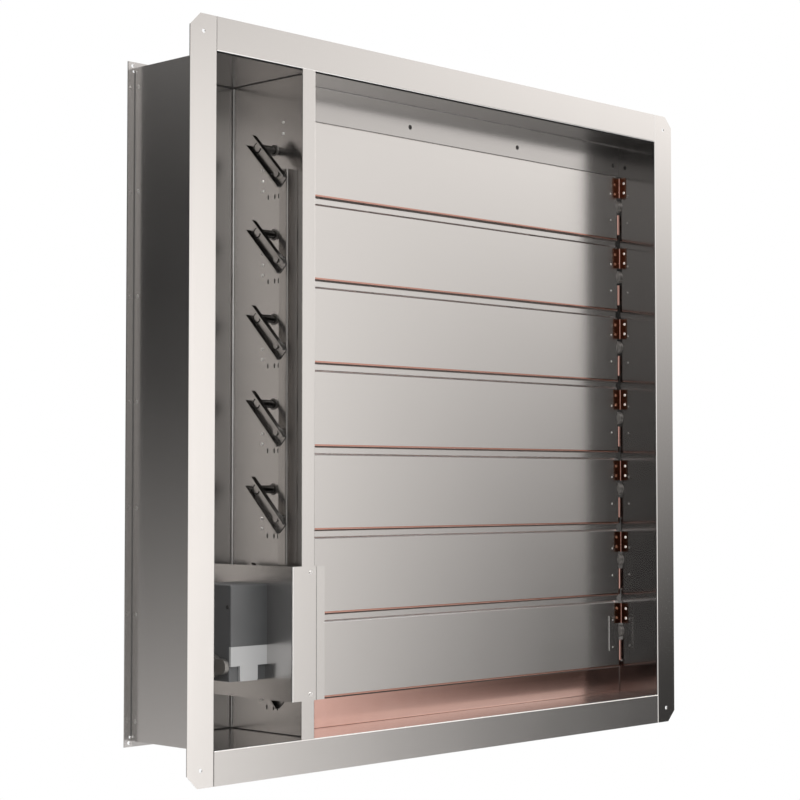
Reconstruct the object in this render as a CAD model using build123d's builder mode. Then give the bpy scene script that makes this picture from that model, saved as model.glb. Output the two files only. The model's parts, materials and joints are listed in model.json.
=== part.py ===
from build123d import *
import os

# Fire damper: a folded stainless casing with linked blades, and an actuator in a side chamber.
# Millimetres. The origin is the centre of the front flange's face, +Y runs to the rear, +Z is up.

# Casing
FRAME_WIDTH = 918.0
FRAME_HEIGHT = 880.0
FLANGE_WIDTH = 40.0
FLANGE_CORNER = 15.0
FLANGE_HOLE_D = 5.0
FLANGE_HOLE_INSET = 20.0
SHEET = 1.5
DEPTH = 150.0
REAR_FLANGE = 10.0
REAR_END_FLANGE = 7.0
REAR_HOLE_D = 4.2
REAR_HOLE_OUT = (3.4, 2.2)
RELIEF_D = 3.0
RELIEF_OUT = (1.9, -4.5)
BUTT_FIT = 0.15

# Chamber and partition
CHAMBER_WIDTH = 155.6
BACK_PLATE_LEG = 15.0
CORNER_GAP = 0.4
LIP_WIDTH = 20.0

# Blades
BLADE_COUNT = 7
TOP_FILL = 36.0
BOTTOM_FILL = 36.0
AXIS_Y = 72.5
BLADE_FORWARD = 7.0
CREASE_COVER = 10.0
BLADE_LIFT = 2.5
BLADE_LAP = 5.0
JOGGLE = 3.0
BLADE_END_GAP = 6.0
SEAL_SHEET = 1.0
SEAL_FRONT_LEG = 1.4
SEAL_BACK_LEG = 6.5

# Plates above and below the blades
PLATE_FOOT = 18.5
PLATE_END_FIT = 0.2
CLOSURE_GAP = 0.5
CLOSURE_HOLE_D = 5.0
CLOSURE_HOLE_BELOW_CEILING = 29.0
CLOSURE_HOLE_PITCH = 216.5
CLOSURE_HOLE_FROM_WALL = 14.2
STOP_LAP = 5.0

# Jamb seals at the blade ends
JAMB_GAP = 0.3
FRONT_LEAF = 15.0
FRONT_LEG = 12.5
FRONT_SEAL_ABOVE_AXIS = 12.0
FRONT_SEAL_BELOW_CREASE = 1.0
BACK_LEAF = 11.0
BACK_LEG = 32.0
BACK_SEAL_BELOW_AXIS = 13.0
BACK_SEAL_ABOVE_LIP = 7.5
BACK_LEG_DROP = 8.0

# Shafts, bushes and blade carriers
SHAFT_D = 10.0
RUNNING_FIT = 0.05
BUSH_WALL = 2.0
BUSH_SEAT_FIT = 0.02
BUSH_FLANGE_D = 18.0
BUSH_END_GAP = 0.4
BUSH_PROUD = 1.0
CARRIER_SHEET = 2.0
CARRIER_LENGTH = 40.0
CARRIER_SPAN = (-30.0, 25.0)
CARRIER_END_GAP = 1.0
SADDLE_WALL = 2.0
SADDLE_ROUND = 5.0
PIVOT_PROUD = 2.5

# Cranks and link bar
CRANK_RADIUS = 50.0
CRANK_STANDOFF = 25.6
CRANK_SHEET = 2.0
CRANK_WIDTH = 17.5
CRANK_DEPTH = 8.0
CRANK_TAIL = 13.0
CRANK_NOSE = 16.0
SHAFT_PAST_CRANK = 2.5
PIN_D = 6.0
PIN_SHOULDER_D = 9.0
PIN_SHOULDER = 7.6
PIN_HEAD_GAP = 0.7
PIN_HEAD = 2.0
PIN_RIVET_D = 8.0
LINK_FIT = 0.08
LINK_SIDE_GAP = 0.35
LINK_WIDTH = 14.4
LINK_SHEET = 2.0
LINK_WEB_GAP = 0.8
LINK_END = 6.5

# Actuator and its bracket
BRACKET_STANDOFF = 35.1
BRACKET_BELOW = 42.5
BRACKET_ABOVE = 116.6
BRACKET_DEPTH = 140.0
BRACKET_REACH = 16.0
BRACKET_JOGGLE = 2.0
BRACKET_STEP_GAP = 0.4
SCREW_D = 3.0
SCREW_FIT = 0.1
SCREW_HEAD_D = 5.0
SCREW_HEAD = 1.0
SCREW_FROM_EDGE = 7.5
SCREW_FROM_LIP_EDGE = 13.6
SCREW_TAIL = 5.0
ACTUATOR_THICKNESS = 57.0
ACTUATOR_FRONT_Y = 43.0
ACTUATOR_WIDTH = 62.0
ACTUATOR_TOP = 96.0
ACTUATOR_SPLIT = 23.0
ACTUATOR_BOTTOM = 18.0
ACTUATOR_ROUND = 3.0
GEAR_CASE_DEPTH = 3.0
GEAR_STEM_WIDTH = 28.0
GEAR_CASE_ROUND = 2.0
HUB_FIT = 0.5
CLAMP_GAP = 0.6
CLAMP_THICKNESS = 6.0
CLAMP_D = 28.0
CLAMP_LENGTH = 54.0
CLAMP_WIDTH = 18.0
CLAMP_ROUND = 8.0
SHAFT_PAST_CLAMP = 3.0

# Places worked out from the sizes above
HALF_W = FRAME_WIDTH / 2
HALF_H = FRAME_HEIGHT / 2
WALL_X = HALF_W - FLANGE_WIDTH
CEILING_Z = HALF_H - FLANGE_WIDTH
OUTER_X = WALL_X + SHEET
OUTER_Z = CEILING_Z + SHEET
REAR_X = OUTER_X + REAR_FLANGE
REAR_Z = OUTER_Z + REAR_END_FLANGE
WEB_LEFT_X = CHAMBER_WIDTH - WALL_X
WEB_RIGHT_X = WEB_LEFT_X + SHEET
LIP_LEFT_X = WEB_LEFT_X - LIP_WIDTH
AIRWAY = WALL_X - WEB_RIGHT_X
AIRWAY_X = (WALL_X + WEB_RIGHT_X) / 2
BLADE_Y = AXIS_Y - BLADE_FORWARD
BLADE_BACK_Y = BLADE_Y + SHEET
BLADE_LENGTH = AIRWAY - 2 * BLADE_END_GAP
BLADE_PITCH = (2 * CEILING_Z - TOP_FILL - BOTTOM_FILL) / BLADE_COUNT
BLADE_BELOW = BLADE_PITCH / 2 - BLADE_LIFT
CREASE_ABOVE = BLADE_PITCH / 2 - CREASE_COVER
BLADE_ABOVE = BLADE_PITCH - BLADE_BELOW + BLADE_LAP
AXES_Z = [CEILING_Z - TOP_FILL - BLADE_PITCH * (row + 0.5) for row in range(BLADE_COUNT)]
BUSH_D = SHAFT_D + 2 * (BUSH_WALL + RUNNING_FIT)
BUSH_FLANGE = BLADE_END_GAP - BUSH_END_GAP
CRANK_BACK_X = WEB_LEFT_X - CRANK_STANDOFF
SHAFT_TIP_X = CRANK_BACK_X - SHAFT_PAST_CRANK
PIN_STEP = CRANK_RADIUS / 2**0.5
PIN_Y = AXIS_Y - PIN_STEP
PIN_HEAD_D = LINK_WIDTH - 2 * (LINK_SHEET + PIN_HEAD_GAP)
LINK_LEFT_X = CRANK_BACK_X + PIN_SHOULDER + LINK_SIDE_GAP
LINK_RIGHT_X = WEB_LEFT_X - LINK_WEB_GAP
BRACKET_RIGHT_X = WEB_LEFT_X - BRACKET_STANDOFF
BRACKET_LEFT_X = BRACKET_RIGHT_X - SHEET
DRIVE_Z = AXES_Z[-1]
ACTUATOR_LEFT_X = BRACKET_LEFT_X - ACTUATOR_THICKNESS
ACTUATOR_X = BRACKET_LEFT_X - ACTUATOR_THICKNESS / 2
ACTUATOR_BACK_Y = ACTUATOR_FRONT_Y + ACTUATOR_WIDTH
GEAR_BACK_Y = ACTUATOR_FRONT_Y + GEAR_CASE_DEPTH
CLAMP_X = ACTUATOR_LEFT_X - CLAMP_GAP - CLAMP_THICKNESS
DRIVE_TIP_X = CLAMP_X - SHAFT_PAST_CLAMP

os.makedirs("parts", exist_ok=True)


def keep(solid, name):
    solid.label = name
    export_step(solid, f"parts/{name}.step")


def folded_sheet(plane, line, side, length, sheet=SHEET):
    """A length of sheet bent along a line of corners, with round outer bends."""
    with BuildPart() as strip:
        with BuildSketch(plane):
            with BuildLine():
                Polyline(*line)
                offset(amount=sheet, side=side)
            make_face()
        extrude(amount=length / 2, both=True)
    return strip.part


def block(low, high):
    """A box from its lowest to its highest corner, for use inside a part."""
    size = [top - bottom for bottom, top in zip(low, high)]
    middle = [(top + bottom) / 2 for bottom, top in zip(low, high)]
    return Pos(*middle) * Box(*size, mode=Mode.PRIVATE)


# Side panel: front flange, wall and rear flange in one fold, with a tab at each rear corner
side_fold = folded_sheet(
    Plane.XY,
    [(-HALF_W, SHEET), (-OUTER_X, SHEET), (-OUTER_X, DEPTH - SHEET), (-REAR_X, DEPTH - SHEET)],
    Side.RIGHT,
    FRAME_HEIGHT,
)
with BuildPart() as left_side_panel:
    add(side_fold)
    for end in (-1, 1):
        wall_end = sorted((end * OUTER_Z, end * HALF_H))
        tab_end = sorted((end * REAR_Z, end * HALF_H))
        add(block((-REAR_X, SHEET, wall_end[0]), (0, DEPTH - SHEET, wall_end[1])), mode=Mode.SUBTRACT)
        add(block((-REAR_X, DEPTH - SHEET, tab_end[0]), (0, DEPTH, tab_end[1])), mode=Mode.SUBTRACT)
    outer_corners = left_side_panel.edges().filter_by(Axis.Y).group_by(Axis.X)[0]
    chamfer(outer_corners, FLANGE_CORNER)
    with BuildSketch(Plane.XZ):
        for end in (-1, 1):
            with Locations((FLANGE_HOLE_INSET - HALF_W, end * (HALF_H - FLANGE_HOLE_INSET))):
                Circle(FLANGE_HOLE_D / 2)
    extrude(amount=-SHEET, mode=Mode.SUBTRACT)
    with BuildSketch(Plane.XZ.offset(-DEPTH)):
        for end in (-1, 1):
            with Locations((-OUTER_X - REAR_HOLE_OUT[0], end * (OUTER_Z + REAR_HOLE_OUT[1]))):
                Circle(REAR_HOLE_D / 2)
            with Locations((-OUTER_X - RELIEF_OUT[0], end * (OUTER_Z + RELIEF_OUT[1]))):
                Circle(RELIEF_D / 2)
    extrude(amount=SHEET, mode=Mode.SUBTRACT)
keep(left_side_panel.part, "left_side_panel")

with BuildPart() as right_side_panel:
    mirror(left_side_panel.part, about=Plane.YZ)
    with BuildSketch(Plane.YZ.offset(WALL_X)):
        with Locations([(AXIS_Y, axis_z) for axis_z in AXES_Z]):
            Circle(BUSH_D / 2 + BUSH_SEAT_FIT)
    extrude(amount=SHEET, mode=Mode.SUBTRACT)
keep(right_side_panel.part, "right_side_panel")

# Top and bottom panels: the same fold, cut to butt between the side panels
with BuildPart() as top_panel:
    add(
        folded_sheet(
            Plane.YZ,
            [(SHEET, HALF_H), (SHEET, OUTER_Z), (DEPTH - SHEET, OUTER_Z), (DEPTH - SHEET, REAR_Z)],
            Side.RIGHT,
            2 * (WALL_X - BUTT_FIT),
        )
    )
keep(top_panel.part, "top_panel")

with BuildPart() as bottom_panel:
    mirror(top_panel.part, about=Plane.XY)
keep(bottom_panel.part, "bottom_panel")

# Chamber back plate with a leg on the left wall, and the partition between chamber and airway
back_plate_y = DEPTH - SHEET
chamber_back_plate = folded_sheet(
    Plane.XY,
    [
        (SHEET - WALL_X, back_plate_y - BACK_PLATE_LEG),
        (SHEET - WALL_X, back_plate_y),
        (WEB_LEFT_X - CORNER_GAP, back_plate_y),
    ],
    Side.LEFT,
    2 * CEILING_Z,
)
keep(chamber_back_plate, "chamber_back_plate")

screw_x = LIP_LEFT_X + SCREW_FROM_LIP_EDGE
screw_heights = [
    DRIVE_Z - BRACKET_BELOW + SCREW_FROM_EDGE,
    DRIVE_Z + BRACKET_ABOVE - SCREW_FROM_EDGE,
]
with BuildPart() as partition:
    add(
        folded_sheet(
            Plane.XY,
            [(LIP_LEFT_X, SHEET), (WEB_LEFT_X, SHEET), (WEB_LEFT_X, DEPTH)],
            Side.RIGHT,
            2 * CEILING_Z,
        )
    )
    with BuildSketch(Plane.YZ.offset(WEB_LEFT_X)):
        with Locations([(AXIS_Y, axis_z) for axis_z in AXES_Z]):
            Circle(BUSH_D / 2 + BUSH_SEAT_FIT)
    extrude(amount=SHEET, mode=Mode.SUBTRACT)
    with BuildSketch(Plane.XZ):
        with Locations([(screw_x, height) for height in screw_heights]):
            Circle(SCREW_D / 2 + SCREW_FIT)
    extrude(amount=-SHEET, mode=Mode.SUBTRACT)
keep(partition.part, "partition")

# Closure plate above the top blade, in front of its joggled edge, and stop plate below the last
closure_length = AIRWAY - 2 * PLATE_END_FIT
stop_length = closure_length - 2 * SEAL_SHEET
closure_edge_z = AXES_Z[0] + CREASE_ABOVE + SHEET + CLOSURE_GAP
with BuildPart() as top_closure_plate:
    add(
        folded_sheet(
            Plane.YZ.offset(AIRWAY_X),
            [
                (BLADE_BACK_Y, closure_edge_z),
                (BLADE_BACK_Y, CEILING_Z - SHEET),
                (BLADE_BACK_Y + PLATE_FOOT, CEILING_Z - SHEET),
            ],
            Side.LEFT,
            closure_length,
        )
    )
    with BuildSketch(Plane.XZ.offset(-BLADE_Y)):
        last_hole_x = WALL_X - CLOSURE_HOLE_FROM_WALL
        with Locations([(last_hole_x - CLOSURE_HOLE_PITCH * step, 0) for step in range(3)]):
            with Locations((0, CEILING_Z - CLOSURE_HOLE_BELOW_CEILING)):
                Circle(CLOSURE_HOLE_D / 2)
    extrude(amount=-SHEET, mode=Mode.SUBTRACT)
keep(top_closure_plate.part, "top_closure_plate")

stop_back_y = BLADE_BACK_Y + JOGGLE
with BuildPart() as bottom_stop_plate:
    add(
        folded_sheet(
            Plane.YZ.offset(AIRWAY_X),
            [
                (stop_back_y, DRIVE_Z - BLADE_BELOW + STOP_LAP),
                (stop_back_y, SHEET - CEILING_Z),
                (stop_back_y + PLATE_FOOT, SHEET - CEILING_Z),
            ],
            Side.RIGHT,
            stop_length,
        )
    )
keep(bottom_stop_plate.part, "bottom_stop_plate")


# Jamb seals: copper angles on both jambs, before the upper and behind the lower half of each blade
def front_jamb_seal(axis_z):
    low_z = axis_z + FRONT_SEAL_ABOVE_AXIS
    high_z = axis_z + CREASE_ABOVE - FRONT_SEAL_BELOW_CREASE
    back_y = BLADE_Y - JAMB_GAP
    leaf = block((WALL_X - FRONT_LEAF, back_y - SEAL_SHEET, low_z), (WALL_X, back_y, high_z))
    leg = block((WALL_X - SEAL_SHEET, back_y - FRONT_LEG, low_z), (WALL_X, back_y, high_z))
    return leaf + leg


def back_jamb_seal(axis_z):
    low_z = axis_z - BLADE_BELOW + BACK_SEAL_ABOVE_LIP
    high_z = axis_z - BACK_SEAL_BELOW_AXIS
    front_y = BLADE_BACK_Y + JAMB_GAP
    leaf = block((WALL_X - BACK_LEAF, front_y, low_z), (WALL_X, front_y + SEAL_SHEET, high_z))
    leg_low_z = low_z - BACK_LEG_DROP
    leg = block((WALL_X - SEAL_SHEET, front_y, leg_low_z), (WALL_X, front_y + BACK_LEG, high_z))
    return leaf + leg


airway_middle = Plane.YZ.offset(AIRWAY_X)
for name, seal in (("front", front_jamb_seal), ("back", back_jamb_seal)):
    with BuildPart() as right_seals:
        for axis_z in AXES_Z:
            add(seal(axis_z))
    keep(right_seals.part, f"right_{name}_jamb_seals")
    with BuildPart() as left_seals:
        mirror(right_seals.part, about=airway_middle)
    keep(left_seals.part, f"left_{name}_jamb_seals")

# Flanged bushes in the right wall and the partition, with the flange as a thrust face
with BuildPart() as right_shaft_bushes:
    for axis_z in AXES_Z:
        with BuildSketch(Plane.YZ.offset(WALL_X - BUSH_FLANGE)):
            with Locations((AXIS_Y, axis_z)):
                Circle(BUSH_FLANGE_D / 2)
        extrude(amount=BUSH_FLANGE)
        with BuildSketch(Plane.YZ.offset(WALL_X)):
            with Locations((AXIS_Y, axis_z)):
                Circle(BUSH_D / 2)
        extrude(amount=SHEET + BUSH_PROUD)
    with BuildSketch(Plane.YZ.offset(WALL_X - BUSH_FLANGE)):
        with Locations([(AXIS_Y, axis_z) for axis_z in AXES_Z]):
            Circle(SHAFT_D / 2 + RUNNING_FIT)
    extrude(amount=BUSH_FLANGE + SHEET + BUSH_PROUD, mode=Mode.SUBTRACT)
keep(right_shaft_bushes.part, "right_shaft_bushes")

with BuildPart() as left_shaft_bushes:
    mirror(right_shaft_bushes.part, about=airway_middle)
keep(left_shaft_bushes.part, "left_shaft_bushes")


# Stub shaft welded to the carrier that is riveted behind a blade's end
def stub_shaft(axis_z, carrier_end_x, inward, tip_x):
    carrier_low_x = min(carrier_end_x, carrier_end_x + inward * CARRIER_LENGTH)
    saddle_depth = AXIS_Y + SHAFT_D / 2 + SADDLE_WALL - BLADE_BACK_Y
    with BuildPart() as stub:
        with BuildSketch(Plane.YZ.offset(carrier_low_x)):
            with Locations((BLADE_BACK_Y + CARRIER_SHEET / 2, axis_z + sum(CARRIER_SPAN) / 2)):
                Rectangle(CARRIER_SHEET, CARRIER_SPAN[1] - CARRIER_SPAN[0])
            with BuildSketch(mode=Mode.PRIVATE) as saddle:
                with Locations((BLADE_BACK_Y + saddle_depth / 2, axis_z)):
                    Rectangle(saddle_depth, SHAFT_D + 2 * SADDLE_WALL)
                fillet(saddle.vertices().group_by(Axis.X)[-1], SADDLE_ROUND)
            add(saddle.sketch)
        extrude(amount=CARRIER_LENGTH)
        with BuildSketch(Plane.YZ.offset(min(carrier_end_x, tip_x))):
            with Locations((AXIS_Y, axis_z)):
                Circle(SHAFT_D / 2)
        extrude(amount=abs(tip_x - carrier_end_x))
    return stub.part


# Crank: a channel with the shaft near its tail and a shouldered pin near its nose
def crank(axis_z):
    pointing = Vector(0, -1, -1).normalized()
    shaft_point = Vector(CRANK_BACK_X, AXIS_Y, axis_z)
    section = Plane(
        origin=shaft_point - pointing * CRANK_TAIL,
        x_dir=(0, -1, 1),
        z_dir=pointing,
    )
    inner = CRANK_WIDTH / 2 - CRANK_SHEET
    pin_z = axis_z - PIN_STEP
    with BuildPart() as arm:
        with BuildSketch(section):
            with BuildLine():
                Polyline(
                    (-inner, CRANK_DEPTH),
                    (-inner, CRANK_SHEET),
                    (inner, CRANK_SHEET),
                    (inner, CRANK_DEPTH),
                )
                offset(amount=CRANK_SHEET, side=Side.RIGHT)
            make_face()
        extrude(amount=CRANK_TAIL + CRANK_RADIUS + CRANK_NOSE)
        with BuildSketch(Plane.YZ.offset(CRANK_BACK_X - CRANK_SHEET)):
            with Locations((AXIS_Y, axis_z)):
                Circle(SHAFT_D / 2 + RUNNING_FIT)
        extrude(amount=CRANK_SHEET, mode=Mode.SUBTRACT)
        journal = LINK_SHEET + 2 * LINK_SIDE_GAP
        turned = (
            (CRANK_BACK_X - 2 * CRANK_SHEET, PIN_RIVET_D, 2 * CRANK_SHEET),
            (CRANK_BACK_X, PIN_SHOULDER_D, PIN_SHOULDER),
            (CRANK_BACK_X + PIN_SHOULDER, PIN_D, journal),
            (CRANK_BACK_X + PIN_SHOULDER + journal, PIN_HEAD_D, PIN_HEAD),
        )
        for start_x, diameter, length in turned:
            with BuildSketch(Plane.YZ.offset(start_x)):
                with Locations((PIN_Y, pin_z)):
                    Circle(diameter / 2)
            extrude(amount=length)
    return arm.part


# Blades from the top down, each with a copper clip as its lip seal, two stub shafts and its crank
for row, axis_z in enumerate(AXES_Z, start=1):
    front_line = [
        (BLADE_Y, axis_z - BLADE_BELOW),
        (BLADE_Y, axis_z + CREASE_ABOVE),
        (BLADE_Y + JOGGLE, axis_z + CREASE_ABOVE + JOGGLE),
        (BLADE_Y + JOGGLE, axis_z + BLADE_ABOVE),
    ]
    keep(folded_sheet(airway_middle, front_line, Side.RIGHT, BLADE_LENGTH), f"blade_{row}")
    lip_z = axis_z - BLADE_BELOW
    clip_line = [
        (BLADE_Y, lip_z + SEAL_FRONT_LEG),
        (BLADE_Y, lip_z),
        (BLADE_BACK_Y, lip_z),
        (BLADE_BACK_Y, lip_z + SEAL_BACK_LEG),
    ]
    lip_seal = folded_sheet(airway_middle, clip_line, Side.RIGHT, BLADE_LENGTH, SEAL_SHEET)
    keep(lip_seal, f"blade_{row}_lip_seal")
    carrier_inset = BACK_LEAF + CARRIER_END_GAP
    drive_tip_x = DRIVE_TIP_X if row == BLADE_COUNT else SHAFT_TIP_X
    keep(stub_shaft(axis_z, WEB_RIGHT_X + carrier_inset, 1, drive_tip_x), f"blade_{row}_drive_shaft")
    pivot_tip_x = WALL_X + SHEET + PIVOT_PROUD
    keep(stub_shaft(axis_z, WALL_X - carrier_inset, -1, pivot_tip_x), f"blade_{row}_pivot_shaft")
    keep(crank(axis_z), f"crank_{row}")

# Link bar over all the crank pins: an angle with one leg across the front
bar_low_z = AXES_Z[-1] - PIN_STEP - LINK_END
bar_high_z = AXES_Z[0] - PIN_STEP + LINK_END
bar_front_y = PIN_Y - LINK_WIDTH / 2
bar_line = [
    (LINK_LEFT_X + LINK_SHEET, bar_front_y + LINK_WIDTH),
    (LINK_LEFT_X + LINK_SHEET, bar_front_y + LINK_SHEET),
    (LINK_RIGHT_X, bar_front_y + LINK_SHEET),
]
bar_middle = Plane.XY.offset((bar_low_z + bar_high_z) / 2)
with BuildPart() as link_bar:
    add(folded_sheet(bar_middle, bar_line, Side.RIGHT, bar_high_z - bar_low_z, LINK_SHEET))
    with BuildSketch(Plane.YZ.offset(LINK_LEFT_X)):
        with Locations([(PIN_Y, axis_z - PIN_STEP) for axis_z in AXES_Z]):
            Circle(PIN_D / 2 + LINK_FIT)
    extrude(amount=LINK_SHEET, mode=Mode.SUBTRACT)
keep(link_bar.part, "link_bar")

# Actuator bracket: a side plate with a front flange over the lip, stepped back beside it
step_x = WEB_RIGHT_X + BRACKET_STEP_GAP
bracket_line = [
    (BRACKET_RIGHT_X, BRACKET_DEPTH),
    (BRACKET_RIGHT_X, 0),
    (step_x, 0),
    (step_x + BRACKET_JOGGLE, SHEET),
    (WEB_RIGHT_X + BRACKET_REACH, SHEET),
]
bracket_z = DRIVE_Z + (BRACKET_ABOVE - BRACKET_BELOW) / 2
with BuildPart() as actuator_bracket:
    add(
        folded_sheet(
            Plane.XY.offset(bracket_z),
            bracket_line,
            Side.RIGHT,
            BRACKET_ABOVE + BRACKET_BELOW,
        )
    )
    with BuildSketch(Plane.YZ.offset(BRACKET_LEFT_X)):
        with Locations((AXIS_Y, DRIVE_Z)):
            Circle(SHAFT_D / 2 + HUB_FIT)
    extrude(amount=SHEET, mode=Mode.SUBTRACT)
    with BuildSketch(Plane.XZ.offset(SHEET)):
        with Locations([(screw_x, height) for height in screw_heights]):
            Circle(SCREW_D / 2 + SCREW_FIT)
    extrude(amount=-SHEET, mode=Mode.SUBTRACT)
keep(actuator_bracket.part, "actuator_bracket")

with BuildPart() as bracket_screws:
    with BuildSketch(Plane.XZ.offset(SHEET)):
        with Locations([(screw_x, height) for height in screw_heights]):
            Circle(SCREW_HEAD_D / 2)
    extrude(amount=SCREW_HEAD)
    with BuildSketch(Plane.XZ.offset(SHEET)):
        with Locations([(screw_x, height) for height in screw_heights]):
            Circle(SCREW_D / 2)
    extrude(amount=-2 * SHEET - SCREW_TAIL)
keep(bracket_screws.part, "bracket_screws")

# Actuator housing: a deep upper body, and a lower block round the hub set back behind the gear case
split_z = DRIVE_Z + ACTUATOR_SPLIT
with BuildPart() as actuator_housing:
    with BuildSketch(Plane.YZ.offset(ACTUATOR_LEFT_X)):
        with BuildLine():
            Polyline(
                (ACTUATOR_FRONT_Y, split_z),
                (ACTUATOR_FRONT_Y, DRIVE_Z + ACTUATOR_TOP),
                (ACTUATOR_BACK_Y, DRIVE_Z + ACTUATOR_TOP),
                (ACTUATOR_BACK_Y, DRIVE_Z - ACTUATOR_BOTTOM),
                (GEAR_BACK_Y, DRIVE_Z - ACTUATOR_BOTTOM),
                (GEAR_BACK_Y, split_z),
                close=True,
            )
        make_face()
    extrude(amount=ACTUATOR_THICKNESS)
    long_edges = actuator_housing.edges().filter_by(Axis.X)
    fillet(long_edges.group_by(Axis.Z)[-1], ACTUATOR_ROUND)
    fillet(actuator_housing.faces().sort_by(Axis.X)[0].edges(), ACTUATOR_ROUND / 2)
    with BuildSketch(Plane.YZ.offset(ACTUATOR_LEFT_X)):
        with Locations((AXIS_Y, DRIVE_Z)):
            Circle(SHAFT_D / 2 + HUB_FIT)
    extrude(amount=ACTUATOR_THICKNESS, mode=Mode.SUBTRACT)
keep(actuator_housing.part, "actuator_housing")

# Gear case: a T-shaped cover on the housing's front, its crossbar over the full thickness
with BuildPart() as actuator_gear_case:
    with BuildSketch(Plane.XZ.offset(-ACTUATOR_FRONT_Y)):
        with Locations((ACTUATOR_X, (split_z + DRIVE_Z) / 2)):
            Rectangle(ACTUATOR_THICKNESS, ACTUATOR_SPLIT)
        with Locations((ACTUATOR_X, DRIVE_Z - ACTUATOR_BOTTOM / 2)):
            Rectangle(GEAR_STEM_WIDTH, ACTUATOR_BOTTOM)
    extrude(amount=-GEAR_CASE_DEPTH)
    corners = actuator_gear_case.edges().filter_by(Axis.Y)
    fillet(corners.group_by(Axis.Z)[0], GEAR_CASE_ROUND)
keep(actuator_gear_case.part, "actuator_gear_case")

# Clamp that grips the drive shaft beside the actuator
with BuildPart() as actuator_clamp:
    with BuildSketch(Plane.YZ.offset(CLAMP_X)):
        with Locations((AXIS_Y, DRIVE_Z)):
            Circle(CLAMP_D / 2)
            RectangleRounded(CLAMP_LENGTH, CLAMP_WIDTH, CLAMP_ROUND)
            Circle(SHAFT_D / 2 + RUNNING_FIT, mode=Mode.SUBTRACT)
    extrude(amount=CLAMP_THICKNESS)
keep(actuator_clamp.part, "actuator_clamp")
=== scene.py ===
import json
import math

import bmesh
import bpy
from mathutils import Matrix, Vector


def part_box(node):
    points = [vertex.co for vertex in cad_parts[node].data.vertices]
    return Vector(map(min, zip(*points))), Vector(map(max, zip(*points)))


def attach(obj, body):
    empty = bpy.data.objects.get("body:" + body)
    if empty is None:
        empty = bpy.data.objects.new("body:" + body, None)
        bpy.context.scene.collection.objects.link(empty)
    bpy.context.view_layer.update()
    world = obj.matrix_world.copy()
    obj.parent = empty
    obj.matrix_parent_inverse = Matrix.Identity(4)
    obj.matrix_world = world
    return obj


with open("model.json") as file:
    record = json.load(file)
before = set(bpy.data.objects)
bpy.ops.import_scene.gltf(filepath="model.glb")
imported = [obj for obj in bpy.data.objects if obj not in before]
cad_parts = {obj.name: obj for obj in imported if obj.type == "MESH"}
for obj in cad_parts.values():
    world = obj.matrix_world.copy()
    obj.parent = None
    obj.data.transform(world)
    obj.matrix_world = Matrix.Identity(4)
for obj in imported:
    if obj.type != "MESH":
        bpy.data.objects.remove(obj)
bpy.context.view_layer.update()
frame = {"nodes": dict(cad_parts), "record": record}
nodes = frame["nodes"]


# Casing panels: left, right, top and bottom, each one sheet of satin stainless steel.
# Flange, wall and rear flange are folded on a press brake; the long edges are sheared, so the
# rolling streaks run along each panel.
class Wire:
    """A socket of a node tree; sums and products of wires add the Math nodes that they need."""

    def __init__(self, tree, socket=None):
        self.tree = tree
        self.socket = socket

    def node(self, kind, settings=None, sockets=None, output=0):
        """Adds a node, with its settings first and then its sockets' values or links."""
        made = self.tree.nodes.new(kind)
        for key, value in (settings or {}).items():
            setattr(made, key, value)
        for key, value in (sockets or {}).items():
            if isinstance(value, Wire):
                self.tree.links.new(value.socket, made.inputs[key])
            else:
                made.inputs[key].default_value = value
        return Wire(self.tree, made.outputs[output] if made.outputs else None)

    def math(self, operation, first, second):
        return self.node("ShaderNodeMath", {"operation": operation}, {0: first, 1: second})

    def __add__(self, other):
        return self.math("ADD", self, other)

    def __radd__(self, other):
        return self.math("ADD", other, self)

    def __sub__(self, other):
        return self.math("SUBTRACT", self, other)

    def __rsub__(self, other):
        return self.math("SUBTRACT", other, self)

    def __mul__(self, other):
        return self.math("MULTIPLY", self, other)

    def __rmul__(self, other):
        return self.math("MULTIPLY", other, self)

    def vector(self, operation, first, second, output=0):
        return self.node(
            "ShaderNodeVectorMath", {"operation": operation}, {0: first, 1: second}, output
        )

    def place(self):
        """Where the surface is, in the piece's own coordinates in metres."""
        return self.node("ShaderNodeTexCoord", output="Object")

    def normal(self):
        """Where the surface looks, before any bump."""
        return self.node("ShaderNodeNewGeometry", output="Normal")

    def along(self, axis):
        """This vector's part along one axis."""
        return self.node("ShaderNodeSeparateXYZ", {}, {0: self}, axis)

    def mix(self, first, second, share):
        """A colour between two colours."""
        return self.node(
            "ShaderNodeMix", {"data_type": "RGBA"}, {0: share, 6: first, 7: second}, 2
        )

    def noise(self, scale, detail=2.0, roughness=0.5):
        """Noise on the piece's own coordinates; scale is a number or one for each axis."""
        place = self.place()
        if not isinstance(scale, (int, float)):
            place = self.vector("MULTIPLY", place, scale)
            scale = 1.0
        return self.node(
            "ShaderNodeTexNoise",
            {},
            {"Vector": place, "Scale": scale, "Detail": detail, "Roughness": roughness},
        )

    def bump(self, height, strength, distance):
        return self.node(
            "ShaderNodeBump", {}, {"Height": height, "Strength": strength, "Distance": distance}
        )


def limits(wire, low=0.0, high=1.0):
    return wire.node("ShaderNodeClamp", {}, {"Value": wire, "Min": low, "Max": high})


def surface(name, sockets):
    """A material whose shader sockets come from a function of its tree."""
    made = bpy.data.materials.new(name)
    made.use_nodes = True
    made.node_tree.nodes.clear()
    wire = Wire(made.node_tree)
    shader = wire.node("ShaderNodeBsdfPrincipled", {}, sockets(wire))
    wire.node("ShaderNodeOutputMaterial", {}, {"Surface": shader})
    return made


def dress(material, *names):
    for name in names:
        nodes[name].material_slots[0].material = material


def shaded_copy(colour, level):
    """A colour made brighter or duller, as a lit or shaded copy for painted light and shade."""
    return [*(level * part for part in colour), 1.0]


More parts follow.
